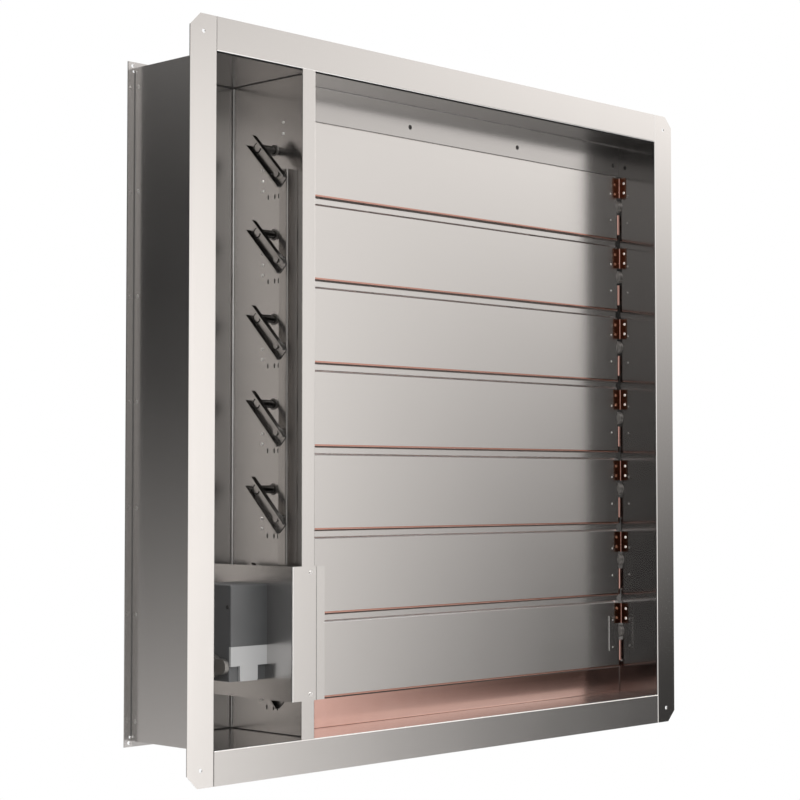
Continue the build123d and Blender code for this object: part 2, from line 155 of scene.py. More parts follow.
STEEL = (0.665, 0.65, 0.638)
STEEL_WORN = (0.57, 0.555, 0.545)
BEND_HIGHLIGHT = (0.98, 0.97, 0.96, 1.0)
BEND_HIGHLIGHT_GAIN = 3.0
WEAR_SHARE = 0.35
STREAK_ACROSS = 700.0
STREAK_ALONG = 5.0
STREAK_DETAIL = 3.0
STREAK_ROUGHNESS = 0.05
SMEAR_NOISE = (7.0, 4.0, 0.6)
SMEAR_ROUGHNESS = 0.06
WAVE_NOISE = (5.0, 1.0)
WAVE_RELIEF = (0.05, 0.004)
SATIN = 0.16
UNSHADED = ("Y", 1.0)


def stainless(name, rolled, gloss=SATIN, tone_and_painted_light=UNSHADED):
    """Rolled stainless sheet with fine streaks along one axis, faint smears and a slight wave.
    The faces that look backwards along the shade axis are painted brighter or duller by its level,
    as painted light and shade by facing.
    Bends, where the surface looks along no axis, are painted near white as a painted highlight."""
    stretch = [STREAK_ALONG if axis == rolled else STREAK_ACROSS for axis in "XYZ"]
    shade_axis, level = tone_and_painted_light

    def sockets(wire):
        streak = wire.noise(stretch, STREAK_DETAIL)
        smear = wire.noise(*SMEAR_NOISE)
        wear = WEAR_SHARE * streak * smear
        plain, other = [
            wire.mix(shaded_copy(STEEL, facing_level), shaded_copy(STEEL_WORN, facing_level), wear) for facing_level in (1.0, level)
        ]
        normal = wire.normal()
        # Painted light and shade: faces that look backwards along the shade axis take the copy at
        # its level.
        sheet = wire.mix(plain, other, limits(-1.0 * normal.along(shade_axis)))
        squares = wire.vector("MULTIPLY", normal, normal)
        flatness = wire.vector("DOT_PRODUCT", squares, squares, "Value")
        # Painted highlight: bends are painted near white.
        bend_highlight = limits(BEND_HIGHLIGHT_GAIN - BEND_HIGHLIGHT_GAIN * flatness)
        return {
            "Base Color": wire.mix(sheet, BEND_HIGHLIGHT, bend_highlight),
            "Metallic": 1.0,
            "Roughness": gloss + STREAK_ROUGHNESS * streak + SMEAR_ROUGHNESS * smear,
            "Normal": wire.bump(wire.noise(*WAVE_NOISE), *WAVE_RELIEF),
        }

    return surface(name, sockets)


steel_upright = stainless("stainless_upright_sheet", "Z")
steel_level = stainless("stainless_level_sheet", "X")
MIRROR_SATIN = 0.06
# Painted light and shade by facing: the left panel's front faces are painted brighter, and the
# right wall's inner face, the top panel's underside and the bottom panel's front are painted
# duller.
PANELS = {
    "left_side_panel": ("stainless_left_panel", "Z", SATIN, ("Y", 1.06)),
    "right_side_panel": ("stainless_right_panel", "Z", MIRROR_SATIN, ("X", 0.6)),
    "top_panel": ("stainless_top_panel", "X", SATIN, ("Z", 0.74)),
    "bottom_panel": ("stainless_bottom_panel", "X", SATIN, ("Y", 0.88)),
}
for panel_node, sheet_and_facing_shade in PANELS.items():
    dress(stainless(*sheet_and_facing_shade), panel_node)

# Chamber back plate and partition: the same sheet, standing, spot welded and riveted between the
# top and bottom panels. They close the drive chamber off from the airway.
dress(steel_upright, "chamber_back_plate", "partition")

# Corners of the casing's folds: the concave steel fillet that the press brake leaves where a wall
# turns into its front flange, and a thin dark bead along each rear fold, put there as painted
# shade.
MM = 0.001
SHEET = 1.5 * MM
FOLD_RADIUS = 2.0 * MM
FOLD_STEPS = 6
FOLD_SHORT = 6 * MM
REAR_SHADE_BEAD = 1.2 * MM
SEALANT_AND_FOLD_SHADE = (0.055, 0.053, 0.05, 1.0)
SEALANT_DUSTY = (0.11, 0.105, 0.10, 1.0)
SEALANT_DUST = (300.0, 4.0, 0.6)
COARSE_RELIEF = (0.2, 0.3 * MM)
PLAIN_SHEEN = 0.5


def grained(name, colours, grain, roughness, relief, metallic=0.0, sheen=PLAIN_SHEEN):
    """One noise, the grain, turns the first colour into the second, rougher and higher."""
    smooth, rougher = roughness

    def sockets(wire):
        noise = wire.noise(*grain)
        return {
            "Base Color": wire.mix(*colours, noise),
            "Metallic": metallic,
            "Roughness": smooth + rougher * noise,
            "Specular IOR Level": sheen,
            "Normal": wire.bump(noise, *relief),
        }

    return surface(name, sockets)


def piece(name, net, material, body, smooth=False):
    """A closed net of faces as a finished piece that moves with a body."""
    bmesh.ops.recalc_face_normals(net, faces=net.faces)
    mesh = bpy.data.meshes.new(name)
    net.to_mesh(mesh)
    net.free()
    for face in mesh.polygons:
        face.use_smooth = smooth
    mesh.materials.append(material)
    made = bpy.data.objects.new(name, mesh)
    bpy.context.collection.objects.link(made)
    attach(made, body)


def prism(name, outlines, material, body):
    """A straight piece between two outlines, which are its ends."""
    net = bmesh.new()
    first, second = [[net.verts.new(spot) for spot in outline] for outline in outlines]
    for step in range(len(first)):
        after = (step + 1) % len(first)
        net.faces.new((first[step], first[after], second[after], second[step]))
    net.faces.new(first)
    net.faces.new(reversed(second))
    piece(name, net, material, body)


def fold_strip(name, ends, ways, radius, material):
    """A concave strip between two ends, in the corner between two faces."""
    first_way, second_way = [Vector(way) for way in ways]
    profile = [Vector((0, 0, 0))]
    for step in range(FOLD_STEPS + 1):
        angle = math.pi / 2 * step / FOLD_STEPS
        profile.append(first_way * (1 - math.sin(angle)) + second_way * (1 - math.cos(angle)))
    outlines = [[Vector(end) + radius * spot for spot in profile] for end in ends]
    prism(name, outlines, material, "casing")


# The dark sealant colour serves the real joints and, in the rear folds, painted shade.
sealant_and_fold_shade = grained(
    "dark_sealant", (SEALANT_AND_FOLD_SHADE, SEALANT_DUSTY), SEALANT_DUST, (0.5, 0.2), COARSE_RELIEF
)
back_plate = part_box("chamber_back_plate")
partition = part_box("partition")
wall_x = back_plate[0][0] - SHEET
roof_z = partition[1][2] + SHEET
front_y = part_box("left_side_panel")[0][1] + SHEET
rear_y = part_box("left_side_panel")[1][1] - SHEET
for place, y, inward, radius, upright, level in (
    ("front", front_y, 1, FOLD_RADIUS, steel_upright, steel_level),
    # The rear bead is a dark strip standing in each rear fold as painted shade.
    ("rear", rear_y, -1, REAR_SHADE_BEAD, sealant_and_fold_shade, sealant_and_fold_shade),
):
    for side, way in (("left", -1), ("right", 1)):
        x = -way * wall_x
        reach = roof_z - FOLD_SHORT
        ends = ((x, y, -reach), (x, y, reach))
        fold_strip(f"{side}_{place}_fold", ends, ((way, 0, 0), (0, inward, 0)), radius, upright)
    for side, way in (("bottom", -1), ("top", 1)):
        z = way * roof_z
        reach = -wall_x - FOLD_SHORT
        ends = ((-reach, y, z), (reach, y, z))
        fold_strip(f"{side}_{place}_fold", ends, ((0, 0, way), (0, inward, 0)), radius, level)

# Rivets of the back plate's leg: seven blind rivets down the left wall, set from outside.
# Each is a turned steel head, low and round, with the dimple that its broken-off pin leaves.
RIVET_SIDES = 16
HEAD_SHAPE = ((0.30, 0.45), (0.38, 1.0), (0.62, 0.95), (0.86, 0.62), (1.0, 0.18), (1.0, -0.3))
TURNED = (0.55, 0.53, 0.51, 1.0)
TURNED_DARK = (0.36, 0.35, 0.34, 1.0)
TURNED_GROOVE = ([900.0, 60.0, 60.0], 2.0)
TURNED_STAIN = (90.0, 3.0)
TURNED_RELIEF = (0.08, 0.4 * MM)
LEG_RIVETS = 7
LEG_RIVET_PITCH = 126 * MM
LEG_RIVET_FROM_BACK = 9 * MM
LEG_RIVET_SIZE = (2.2 * MM, 0.25 * MM)


def turned_sockets(wire):
    groove = wire.noise(*TURNED_GROOVE)
    stain = wire.noise(*TURNED_STAIN)
    return {
        "Base Color": wire.mix(TURNED, TURNED_DARK, 0.6 * stain),
        "Metallic": 1.0,
        "Roughness": 0.24 + 0.12 * groove,
        "Normal": wire.bump(groove, *TURNED_RELIEF),
    }


def turned(name, seats, facing, outline, material, body, stretch=1.0, ring=False):
    """Turned pieces, one at each seat: an outline of radii and heights swept round facing."""
    turn = Vector((0, 0, 1)).rotation_difference(Vector(facing)).to_matrix()
    net = bmesh.new()
    for seat in seats:
        loops = []
        for radius, height in outline:
            loop = []
            for step in range(RIVET_SIDES):
                angle = 2 * math.pi * step / RIVET_SIDES
                across = math.cos(angle) * radius * stretch
                spot = Vector((across, math.sin(angle) * radius, height))
                loop.append(net.verts.new(Vector(seat) + turn @ spot))
            loops.append(loop)
        if ring:
            loops.append(loops[0])
        else:
            net.faces.new(loops[0])
            net.faces.new(reversed(loops[-1]))
        for inner, outer in zip(loops, loops[1:]):
            for step in range(RIVET_SIDES):
                after = (step + 1) % RIVET_SIDES
                net.faces.new((inner[step], outer[step], outer[after], inner[after]))
    piece(name, net, material, body, smooth=not ring)


def scaled(shape, radius, height):
    """An outline in shares of a radius and a height, at its real size."""
    return [(reach * radius, rise * height) for reach, rise in shape]


def rivet_heads(name, seats, facing, size, material, body):
    """Round heads with a dimple, one at each seat, standing out along facing."""
    turned(name, seats, facing, scaled(HEAD_SHAPE, *size), material, body)


turned_steel = surface("turned_steel", turned_sockets)
leg_rivet_y = back_plate[1][1] - LEG_RIVET_FROM_BACK
seats = [
    (wall_x, leg_rivet_y, (step - LEG_RIVETS // 2) * LEG_RIVET_PITCH) for step in range(LEG_RIVETS)
]
rivet_heads("back_plate_rivets", seats, (-1, 0, 0), LEG_RIVET_SIZE, turned_steel, "casing")

# Mouth beads: a black strip along the ceiling, just behind the front edge of the opening, as
# painted shade under that edge. One runs over the drive chamber and one over the airway, on the
# top panel.
MOUTH_SHADE = (0.008, 0.008, 0.008, 1.0)
MOUTH_SHADE_DUSTY = (0.02, 0.0195, 0.019, 1.0)
MOUTH_SHADE_GRAIN = (900.0, 3.0, 0.6)
MOUTH_SHADE_RELIEF = (0.2, 0.2 * MM)
MOUTH_SHADE_SHEEN = 0.1
MOUTH_BEAD = 1.9 * MM
MOUTH_FROM_FRONT = 1.6 * MM
mouth_shade = grained(
    "black_foam", (MOUTH_SHADE, MOUTH_SHADE_DUSTY), MOUTH_SHADE_GRAIN, (0.8, 0.15), MOUTH_SHADE_RELIEF, sheen=MOUTH_SHADE_SHEEN
)
mouth_z = roof_z - SHEET
for name, left_x, right_x in (
    ("chamber_mouth_bead", wall_x + SHEET, partition[1][0] - SHEET),
    ("airway_mouth_bead", partition[1][0], -wall_x - SHEET),
):
    ends = [(x, MOUTH_FROM_FRONT, mouth_z) for x in (left_x, right_x)]
    fold_strip(name, ends, ((0, 1, 0), (0, 0, -1)), MOUTH_BEAD, mouth_shade)

# Sealant in the drive chamber: a thin dark bead, drawn along the joints of the back plate and the
# partition with the top and bottom panels, and a bright solder fillet up the corner between them.
SEALANT_RADIUS = 0.9 * MM
SOLDER_RADIUS = 1.3 * MM
JOINT_FIT = 0.1 * MM
SOLDER = (0.86, 0.85, 0.84, 1.0)
SOLDER_WORN = (0.70, 0.69, 0.68, 1.0)
SOLDER_RIPPLE = (220.0, 2.0)
SOLDER_RELIEF = (0.05, 0.3 * MM)
joint_x = back_plate[1][0] - JOINT_FIT
joint_y = rear_y - SHEET - JOINT_FIT
for place, way in (("floor", -1), ("ceiling", 1)):
    joint_z = way * (roof_z - SHEET - JOINT_FIT)
    corner = (joint_x, joint_y, joint_z)
    far_left = (back_plate[0][0] + SHEET, joint_y, joint_z)
    near_end = (joint_x, partition[0][1] + SHEET, joint_z)
    for side, ends, out in (
        ("rear", (far_left, corner), (0, -1, 0)),
        ("side", (corner, near_end), (-1, 0, 0)),
    ):
        fold_strip(f"{place}_{side}_sealant", ends, (out, (0, 0, -way)), SEALANT_RADIUS, sealant_and_fold_shade)
corner_reach = roof_z - SHEET - 2 * SEALANT_RADIUS
ends = [(joint_x, joint_y, way * corner_reach) for way in (-1, 1)]
solder = grained(
    "corner_solder", (SOLDER, SOLDER_WORN), SOLDER_RIPPLE, (0.34, 0.1), SOLDER_RELIEF, 0.6
)
fold_strip("corner_solder", ends, ((-1, 0, 0), (0, -1, 0)), SOLDER_RADIUS, solder)

# Closure plate over the top blade, and the seven blades below it: stainless sheet, folded along
# their length. The closure is spot welded to the ceiling; each blade turns on its stub shafts.
BLADES = range(1, 8)
BLADE_SATIN = 0.17
dress(stainless("stainless_blade_sheet", "X", BLADE_SATIN), *[f"blade_{row}" for row in BLADES])
# The closure plate's front faces are painted duller, as painted shade.
dress(stainless("stainless_closure_sheet", "X", SATIN, ("Y", 0.76)), "top_closure_plate")

# Plugs in the closure plate's holes: three dark blind rivets of blackened steel.
# They are set nearly flush from the front and close the holes against leakage.
PLUG = (0.030, 0.028, 0.027, 1.0)
PLUG_WORN = (0.075, 0.072, 0.07, 1.0)
PLUG_RUB = (500.0, 3.0)
PLUG_RELIEF = (0.1, 0.3 * MM)
PLUGS = 3
PLUG_FROM_WALL = 14.2 * MM
PLUG_PITCH = 216.5 * MM
PLUG_BELOW_CEILING = 29 * MM
PLUG_SIZE = (3.2 * MM, 0.6 * MM)
dark_rivet = grained("dark_rivet", (PLUG, PLUG_WORN), PLUG_RUB, (0.38, 0.15), PLUG_RELIEF, 0.6)
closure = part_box("top_closure_plate")
right_wall_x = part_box("right_front_jamb_seals")[1][0]
plug_x = right_wall_x - PLUG_FROM_WALL
plug_z = closure[1][2] - PLUG_BELOW_CEILING
seats = [(plug_x - PLUG_PITCH * step, closure[0][1], plug_z) for step in range(PLUGS)]
rivet_heads("closure_plugs", seats, (0, -1, 0), PLUG_SIZE, dark_rivet, "casing")

# Blade rivets: two at each end hold the carrier behind the blade, pulled from the front.
# Small flat steel heads show on the face, and formed tails behind the carrier.
RIVET_FROM_END = 14 * MM
BLADE_RIVET_AT = (17 * MM, -22 * MM)
BLADE_RIVET_SIZE = (1.5 * MM, 0.4 * MM)
BLADE_TAIL_SIZE = (2.2 * MM, 1.4 * MM)
CARRIER_SHEET = 2 * MM
hinge_of = {joint["name"]: joint["pos_m"] for joint in frame["record"]["behaviour"]["joints"]}
axis_of = {row: hinge_of[f"blade_{row}_turn"][2] for row in BLADES}
for row in BLADES:
    low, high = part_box(f"blade_{row}")
    ends = (low[0] + RIVET_FROM_END, high[0] - RIVET_FROM_END)
    spots = [(x, axis_of[row] + rise) for x in ends for rise in BLADE_RIVET_AT]
    tail_y = low[1] + SHEET + CARRIER_SHEET
    for name, y, way, size in (
        ("rivets", low[1], -1, BLADE_RIVET_SIZE),
        ("rivet_tails", tail_y, 1, BLADE_TAIL_SIZE),
    ):
        seats = [(x, y, z) for x, z in spots]
        unit = f"blade_unit_{row}"
        rivet_heads(f"blade_{row}_{name}", seats, (0, way, 0), size, turned_steel, unit)

# Seals and bottom stop: thin copper-coloured spring strip, cut and bent. The lip seals are clamped
# to the blades' lower edges, the jamb seals riveted to both jambs. Along its middle, the stop
# plate's upright is painted dark above as painted shade and bright near the floor as a painted
# reflection.
COPPER = (0.89, 0.57, 0.50, 1.0)
COPPER_WORN = (0.66, 0.36, 0.29, 1.0)
CLIP = (0.62, 0.36, 0.30, 1.0)
CLIP_WORN = (0.46, 0.25, 0.20, 1.0)
BROWNED = (0.36, 0.19, 0.13, 1.0)
BROWNED_WORN = (0.25, 0.12, 0.075, 1.0)
TARNISHED = (0.17, 0.105, 0.09, 1.0)
TARNISHED_WORN = (0.12, 0.075, 0.06, 1.0)
COPPER_STREAK = ([STREAK_ALONG, STREAK_ACROSS, STREAK_ACROSS], 2.0)
COPPER_BLOOM = (40.0, 4.0, 0.65)
COPPER_RELIEF = (0.05, 1.0 * MM)
STOP_SHADE = (0.34, 0.20, 0.165, 1.0)
STOP_HIGHLIGHT = (1.0, 0.70, 0.62, 1.0)
STOP_BAND_START = -0.18
STOP_BAND_FULL = 0.23
STOP_BAND_FADE = 0.33
STOP_BAND_END = 0.39
STOP_SHADE_GAIN = 2.2
STOP_SHADE_FROM = 0.5
STOP_HIGHLIGHT_FALL = 2.0


def painted_band(wire):
    """Where the stop plate's painted shade and painted reflection go: how far along its middle,
    and how high on its upright.
    """
    place = wire.place()
    along = place.along("X")
    low, high = [corner[2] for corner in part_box("bottom_stop_plate")]
    rise = limits((along - STOP_BAND_START) * (1 / (STOP_BAND_FULL - STOP_BAND_START)))
    fall = limits((STOP_BAND_END - along) * (1 / (STOP_BAND_END - STOP_BAND_FADE)))
    return rise * fall, (place.along("Z") - low) * (1 / (high - low))


def copper(name, colour, worn, painted_reflection=False):
    def sockets(wire):
        streak = wire.noise(*COPPER_STREAK)
        bloom = wire.noise(*COPPER_BLOOM)
        tone_and_painted_light = wire.mix(colour, worn, 0.5 * bloom)
        if painted_reflection:
            # Painted light: painted shade on the upper middle of the stop plate, a painted
            # reflection low down.
            middle, height = painted_band(wire)
            highlight_share = middle * limits(1.0 - STOP_HIGHLIGHT_FALL * height)
            shade_share = middle * limits(STOP_SHADE_GAIN * height - STOP_SHADE_FROM)
            tone_and_painted_light = wire.mix(wire.mix(tone_and_painted_light, STOP_HIGHLIGHT, highlight_share), STOP_SHADE, shade_share)
        return {
            "Base Color": tone_and_painted_light,
            "Metallic": 1.0,
            "Roughness": 0.09 + 0.05 * streak + 0.07 * bloom,
            "Normal": wire.bump(bloom, *COPPER_RELIEF),
        }

    return surface(name, sockets)


highlight_copper = copper("copper_strip", COPPER, COPPER_WORN)
dress(copper("copper_stop", COPPER, COPPER_WORN, painted_reflection=True), "bottom_stop_plate")
browned_copper = copper("browned_copper", BROWNED, BROWNED_WORN)
dress(browned_copper, "left_front_jamb_seals", "right_front_jamb_seals")
dress(copper("copper_clip", CLIP, CLIP_WORN), *[f"blade_{row}_lip_seal" for row in BLADES])
tarnished_copper = copper("tarnished_copper", TARNISHED, TARNISHED_WORN)
dress(tarnished_copper, "left_back_jamb_seals", "right_back_jamb_seals")

# Under each lip clip: a thin black bead, flattened a little, as painted shade for the shadow gap
# below the clip. It runs the blade's length under the clip's fold.
LIP_SHADE = (0.030, 0.021, 0.017, 1.0)
LIP_SHADE_WORN = (0.060, 0.043, 0.036, 1.0)
LIP_SHADE_DUST = (260.0, 4.0, 0.6)
BEAD_HIGH = 1.6 * MM
BEAD_DEEP = 2.2 * MM
BEAD_SIDES = 10
BEAD_SET_BACK = 0.4 * MM
lip_shade = grained("black_rubber", (LIP_SHADE, LIP_SHADE_WORN), LIP_SHADE_DUST, (0.62, 0.2), COARSE_RELIEF)
for row in BLADES:
    low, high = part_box(f"blade_{row}_lip_seal")
    section = []
    for step in range(BEAD_SIDES):
        angle = 2 * math.pi * step / BEAD_SIDES
        y = low[1] + BEAD_SET_BACK + BEAD_DEEP / 2 * (1 - math.cos(angle))
        z = low[2] - BEAD_HIGH / 2 + BEAD_HIGH / 2 * math.sin(angle)
        section.append((y, z))
    outlines = [[(x, y, z) for y, z in section] for x in (low[0], high[0])]
    prism(f"blade_{row}_lip_shade_bead", outlines, lip_shade, f"blade_unit_{row}")

# Doubler on the lowest blade's far end: a thin stainless shim under the two carrier rivets, with
# its inner edge folded up as a narrow lip. The drive's load goes through this blade.
DOUBLER_REACH = 22.5 * MM
DOUBLER_THICK = 0.2 * MM
DOUBLER_LIP = 1.0 * MM
DOUBLER_SHORT = 0.5 * MM
DOUBLER_SPAN = (-27 * MM, 23 * MM)
DOUBLER_PROFILE = (
    (DOUBLER_SHORT, -DOUBLER_THICK),
    (DOUBLER_SHORT, 0.0),
    (DOUBLER_REACH + DOUBLER_LIP, 0.0),
    (DOUBLER_REACH + DOUBLER_LIP, -DOUBLER_LIP / 2),
    (DOUBLER_REACH + DOUBLER_LIP / 2, -DOUBLER_LIP),
    (DOUBLER_REACH, -DOUBLER_LIP),
    (DOUBLER_REACH - DOUBLER_LIP / 2, -DOUBLER_THICK),
)
low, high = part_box("blade_7")
outlines = [
    [(high[0] - reach, low[1] + rise, axis_of[7] + z) for reach, rise in DOUBLER_PROFILE]
    for z in DOUBLER_SPAN
]
prism("blade_7_doubler", outlines, steel_upright, "blade_unit_7")

# Jamb seal trim: copper fillets at the seals' folds, brighter than the seals as a painted
# highlight, and the small bright rivets that hold the seals' legs, with their tails on the outside
# of both jambs.
FRONT_LEG_RIVETS = (19 * MM, 33 * MM)
BACK_LEG_RIVETS = (-22 * MM, -36 * MM, -48.5 * MM)
LEG_RIVET_IN = 6.5 * MM
LEG_SHEET = 1 * MM
JAMB_RIVET_SIZE = (2.0 * MM, 0.9 * MM)
JAMB_TAIL_SIZE = (2.0 * MM, 1.8 * MM)
BRIGHT = (0.90, 0.87, 0.84, 1.0)
BRIGHT_WORN = (0.78, 0.75, 0.72, 1.0)
BRIGHT_RUB = (300.0, 3.0)
FINE_RELIEF = (0.06, 0.3 * MM)
FRONT_FOLD = 1.1 * MM
BACK_FOLD = 2.6 * MM
FRONT_SEAL_FOOT = 12 * MM
BACK_SEAL_FOOT = -42 * MM
SEAL_HIGH = 29 * MM
bright_rivet = grained(
    "bright_rivet", (BRIGHT, BRIGHT_WORN), BRIGHT_RUB, (0.12, 0.1), FINE_RELIEF, 0.5
)
front_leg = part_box("right_front_jamb_seals")
back_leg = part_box("right_back_jamb_seals")
web_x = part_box("left_front_jamb_seals")[0][0]
leaf_y = front_leg[1][1] - LEG_SHEET
for row in BLADES:
    for side, jamb_x, way in (("right", right_wall_x, -1), ("left", web_x, 1)):
        for name, x, y, foot, radius in (
            ("fold", jamb_x + way * LEG_SHEET, leaf_y, FRONT_SEAL_FOOT, FRONT_FOLD),
            ("back_fold", jamb_x, back_leg[0][1], BACK_SEAL_FOOT, BACK_FOLD),
        ):
            low_z = axis_of[row] + foot
            ends = ((x, y, low_z), (x, y, low_z + SEAL_HIGH))
            ways = ((way, 0, 0), (0, -1, 0))
            name = f"{side}_seal_{row}_{name}"
            fold_strip(name, ends, ways, radius, highlight_copper)
front_rivet_y = front_leg[0][1] + LEG_RIVET_IN / 2
back_rivet_y = back_leg[1][1] - LEG_RIVET_IN
spots = [(front_rivet_y, axis_of[row] + up) for row in BLADES for up in FRONT_LEG_RIVETS]
spots += [(back_rivet_y, axis_of[row] + up) for row in BLADES for up in BACK_LEG_RIVETS]
for name, x, way, size in (
    ("right_jamb_rivets", right_wall_x - LEG_SHEET, -1, JAMB_RIVET_SIZE),
    ("right_jamb_rivet_tails", right_wall_x + SHEET, 1, JAMB_TAIL_SIZE),
    ("left_jamb_rivets", web_x + LEG_SHEET, 1, JAMB_RIVET_SIZE),
    ("left_jamb_rivet_tails", web_x - SHEET, -1, JAMB_TAIL_SIZE),
):
    seats = [(x, y, z) for y, z in spots]
    rivet_heads(name, seats, (way, 0, 0), size, bright_rivet, "casing")

# Stamped lugs on the chamber side of the partition, three behind each blade's lower edge: low
# upright swellings in the sheet, pressed out from the airway side and dabbed with dark sealant.
LUGS_Y = (64 * MM, 71 * MM, 83 * MM)
LUG_BELOW_AXIS = 57 * MM
LUG_SIZE = (1.4 * MM, 0.5 * MM)
LUG_SHAPE = ((0.3, 1.0), (0.7, 0.7), (1.0, 0.0), (1.0, -0.4))
LUG_STRETCH = 2.4
turned(
    "partition_lugs",
    [(web_x - SHEET, y, axis_of[row] - LUG_BELOW_AXIS) for row in BLADES for y in LUGS_Y],
    (-1, 0, 0),
    scaled(LUG_SHAPE, *LUG_SIZE),
    sealant_and_fold_shade,
    "casing",
    LUG_STRETCH,
)

# Shaft bushes: flanged sleeves of dull sintered metal, slightly porous.
# They are pressed into the right wall and the partition, where the stub shafts turn in them.
SINTER = (0.34, 0.325, 0.31, 1.0)
SINTER_DARK = (0.22, 0.21, 0.20, 1.0)
SINTER_PORES = (1500.0, 3.0)
sintered = grained(
    "sintered_steel", (SINTER, SINTER_DARK), SINTER_PORES, (0.42, 0.16), COARSE_RELIEF, 1.0
)
dress(sintered, "left_shaft_bushes", "right_shaft_bushes")

# Cranks and stub shafts: pressed steel channels with riveted link pins, and turned bar welded to
# its carriers. Faces that look along X, such as webs and shaft ends, are painted light, and the
# other faces keep the dark zinc, as painted light and shade by facing.
ZINC = (0.12, 0.115, 0.11, 1.0)
ZINC_LIT_FACE = (0.66, 0.645, 0.63, 1.0)
ZINC_CLOUD = (60.0, 5.0, 0.65)
ZINC_RELIEF = (0.05, 0.6 * MM)
LIT_FACE_GAIN = 1.6
LIT_FACE_FROM = 0.6


def zinc_sockets(wire):
    cloud = wire.noise(*ZINC_CLOUD)
    sideways = wire.math("ABSOLUTE", wire.normal().along("X"), 0.0)
    lit_faces = limits(LIT_FACE_GAIN * sideways - LIT_FACE_FROM)
    return {
        # Painted light: faces looking along X are painted light; the cloud mottles it at random.
        "Base Color": wire.mix(ZINC, ZINC_LIT_FACE, lit_faces * (1.0 - 0.25 * cloud)),
        "Metallic": 1.0,
        "Roughness": 0.20 + 0.10 * cloud,
        "Normal": wire.bump(cloud, *ZINC_RELIEF),
    }


dark_zinc = surface("dark_zinc", zinc_sockets)
dress(dark_zinc, *[f"crank_{row}" for row in BLADES])
dress(dark_zinc, *[f"blade_{row}_{end}_shaft" for row in BLADES for end in ("drive", "pivot")])

# Dark rings: a thin dark ring round each shaft's end, on the crank's web, as painted shade
# where the web is dark round the shaft. Each sits against the shaft's end.
SHADE_RING_BORE = 5.1 * MM
SHADE_RING_RADIUS = 6.6 * MM
SHADE_RING_THICK = 0.4 * MM
SHADE_RING_OUTLINE = (
    (SHADE_RING_BORE, 0.0),
    (SHADE_RING_BORE, SHADE_RING_THICK),
    (SHADE_RING_RADIUS, SHADE_RING_THICK),
    (SHADE_RING_RADIUS, 0.0),
)
SHAFT_PROUD = 0.5 * MM
for row in BLADES[:-1]:
    tip_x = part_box(f"blade_{row}_drive_shaft")[0][0]
    pivot_y = hinge_of[f"blade_{row}_turn"][1]
    turned(
        f"crank_{row}_shade_ring",
        [(tip_x + SHAFT_PROUD, pivot_y, axis_of[row])],
        (-1, 0, 0),
        SHADE_RING_OUTLINE,
        dark_rivet,
        f"blade_unit_{row}",
        ring=True,
    )

# Link bar: a light angle, bent from bright steel strip that is streaked along its length.
# It has a punched hole for each crank pin and hangs on all of them.
STRIP = (0.66, 0.645, 0.63, 1.0)
STRIP_DARK = (0.54, 0.525, 0.51, 1.0)
STRIP_STREAK = ([STREAK_ACROSS, STREAK_ACROSS, STREAK_ALONG], 3.0)
link_steel = grained(
    "link_strip_steel", (STRIP, STRIP_DARK), STRIP_STREAK, (0.16, 0.08), FINE_RELIEF, 1.0
)
dress(link_steel, "link_bar")

# Actuator bracket: a stainless plate, folded round the partition's lip, and its two pan screws.
# The screws are duller than the plate and go through it into the lip.
SCREW_SATIN = 0.40
dress(stainless("stainless_bracket_sheet", "Z", BLADE_SATIN), "actuator_bracket")
dress(stainless("stainless_screws", "X", SCREW_SATIN), "bracket_screws")

# Actuator: a dark moulded housing with a light grey T-shaped gear case on its front.
# Both are grained plastic, screwed together, and the actuator stands on the bracket. Both are
# painted darker towards the bracket, as painted shade.
HOUSING = (0.095, 0.096, 0.098, 1.0)
HOUSING_DARK = (0.030, 0.031, 0.032, 1.0)
HOUSING_PAINTED_SHADE = 0.75
GEAR_CASE = (0.38, 0.38, 0.38, 1.0)
GEAR_CASE_DARK = (0.30, 0.30, 0.30, 1.0)
GEAR_CASE_PAINTED_SHADE = 0.3
MOULD_GRAIN = (1400.0, 2.0)
MOULD_CLOUD = (30.0, 3.0)
MOULD_RELIEF = (0.15, 0.2 * MM)
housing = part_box("actuator_housing")


def moulded(name, colour, shade, painted_shade):
    """Moulded plastic with a fine grain and a random mottle, painted darker towards the bracket as
    painted shade.
    """
    left_x = housing[0][0]
    width = housing[1][0] - left_x

    def sockets(wire):
        grain = wire.noise(*MOULD_GRAIN)
        cloud = wire.noise(*MOULD_CLOUD)
        across = (wire.place().along("X") - left_x) * (1 / width)
        return {
            "Base Color": wire.mix(colour, shade, limits(painted_shade * across + 0.3 * cloud)),
            "Roughness": 0.42 + 0.14 * grain,
            "Normal": wire.bump(grain, *MOULD_RELIEF),
        }

    return surface(name, sockets)


dress(moulded("moulded_dark_grey", HOUSING, HOUSING_DARK, HOUSING_PAINTED_SHADE), "actuator_housing")
light_grey = moulded("moulded_light_grey", GEAR_CASE, GEAR_CASE_DARK, GEAR_CASE_PAINTED_SHADE)
dress(light_grey, "actuator_gear_case")

# Cover screw on the housing's left face: a small blackened steel head with a dimple.
# It holds the two halves of the housing together.
SCREW_FROM_FRONT = 6 * MM
SCREW_BELOW_TOP = 26 * MM
SCREW_SIZE = (2.5 * MM, 1.0 * MM)
seat = (housing[0][0], housing[0][1] + SCREW_FROM_FRONT, housing[1][2] - SCREW_BELOW_TOP)
rivet_heads(
    "actuator_cover_screw", [seat], (-1, 0, 0), SCREW_SIZE, dark_rivet, "casing"
)

# Clamp: a milled steel block, as dull as the sintered bushes.
# It grips the lowest drive shaft beside the actuator and turns with it.
dress(sintered, "actuator_clamp")

